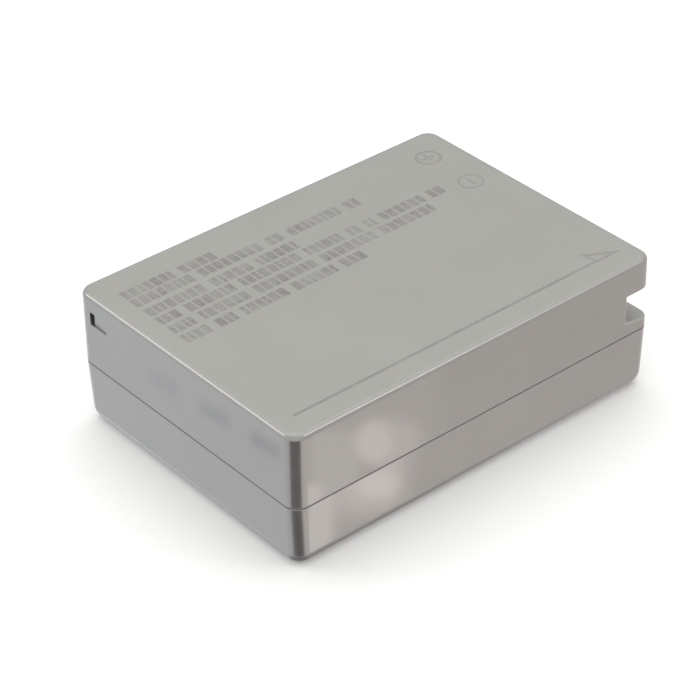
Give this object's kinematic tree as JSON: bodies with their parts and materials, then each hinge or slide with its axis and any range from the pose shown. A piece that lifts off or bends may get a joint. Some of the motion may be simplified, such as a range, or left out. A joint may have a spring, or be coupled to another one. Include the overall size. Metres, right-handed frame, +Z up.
{
  "type": "camera battery",
  "caption": "Flat rectangular rechargeable camera battery in a welded two-part case, with a keyed corner notch, a latch pocket and recessed end contacts.",
  "frame": {"origin": "centre of the base, on the surface that the pack lies on", "axes": "+X along the pack to its contact end, +Y across it towards the contacts' side, +Z up through the printed face"},
  "size_m": [0.045, 0.0326, 0.0149],
  "materials": {
    "case_plastic": "light warm grey moulded plastic, spark-textured on top and smoother on the sides",
    "cell_can": "drawn, satin",
    "adhesive_foam": "matt double-sided foam tape",
    "insulating_card": "pressed insulating card",
    "nickel_strip": "rolled nickel",
    "circuit_board": "solder mask over glass laminate",
    "gilt_contact": "gold plated, polished",
    "chip_body": "moulded epoxy"
  },
  "bodies": {
    "root": {"upper_case": "case_plastic", "lower_case": "case_plastic", "lower_cell": "cell_can", "upper_cell": "cell_can", "lower_pad": "adhesive_foam", "middle_pad": "adhesive_foam", "upper_pad": "adhesive_foam", "insulator_card": "insulating_card", "negative_tab": "nickel_strip", "middle_tab": "nickel_strip", "positive_tab": "nickel_strip", "protection_board": "circuit_board", "contact_negative": "gilt_contact", "contact_temperature": "gilt_contact", "contact_positive": "gilt_contact", "switch_chip": "chip_body", "protection_chip": "chip_body", "thermistor": "chip_body", "board_passives": "chip_body"}
  },
  "joints": []
}
